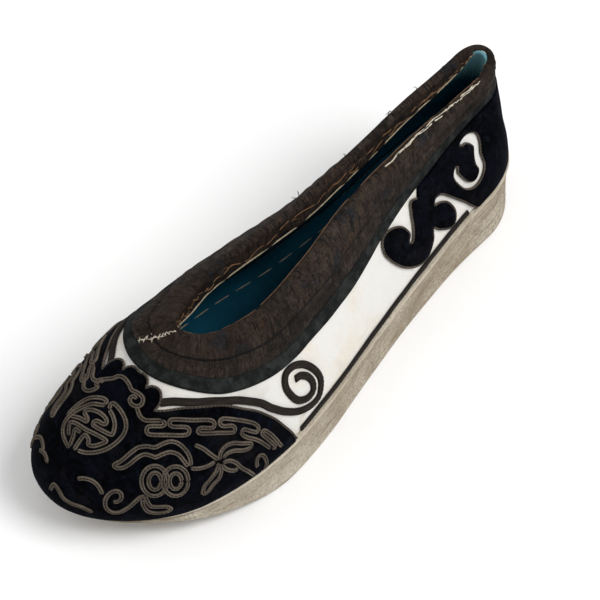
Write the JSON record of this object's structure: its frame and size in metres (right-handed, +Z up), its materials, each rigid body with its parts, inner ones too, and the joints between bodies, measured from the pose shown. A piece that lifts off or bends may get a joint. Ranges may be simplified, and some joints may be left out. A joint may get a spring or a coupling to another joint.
{
  "type": "embroidered cloth shoe",
  "caption": "Slip-on cloth shoe with a thick layered cloth sole, hollow upper, velvet toe cap and heel counter with cloud edges, satin collar binding and braided scrolls.",
  "frame": {"origin": "on the floor under the middle of the shoe's bounding box", "axes": "+X towards the toe, +Y towards the wearer's left, +Z up"},
  "size_m": [0.2538, 0.083, 0.0816],
  "materials": {
    "binding_satin": "worn satin",
    "braid": "flat braid",
    "insole_cloth": "matt blue lining cloth",
    "ribbon": "ribbed ribbon",
    "sole_cloth": "matt, soiled layered cloth",
    "sole_edge_cloth": "matt bleached cloth",
    "upper_cloth": "matt cotton cloth",
    "velvet": "cut pile velvet"
  },
  "bodies": {
    "root": {"collar_binding": "binding_satin", "collar_ribbon": "ribbon", "foot_braid_left": "braid", "foot_braid_right": "braid", "heel_counter": "velvet", "insole": "insole_cloth", "sole_stack": "sole_cloth", "sole_top_layer": "sole_edge_cloth", "tendril_left": "braid", "tendril_right": "braid", "toe_cap": "velvet", "upper": "upper_cloth"}
  },
  "joints": []
}
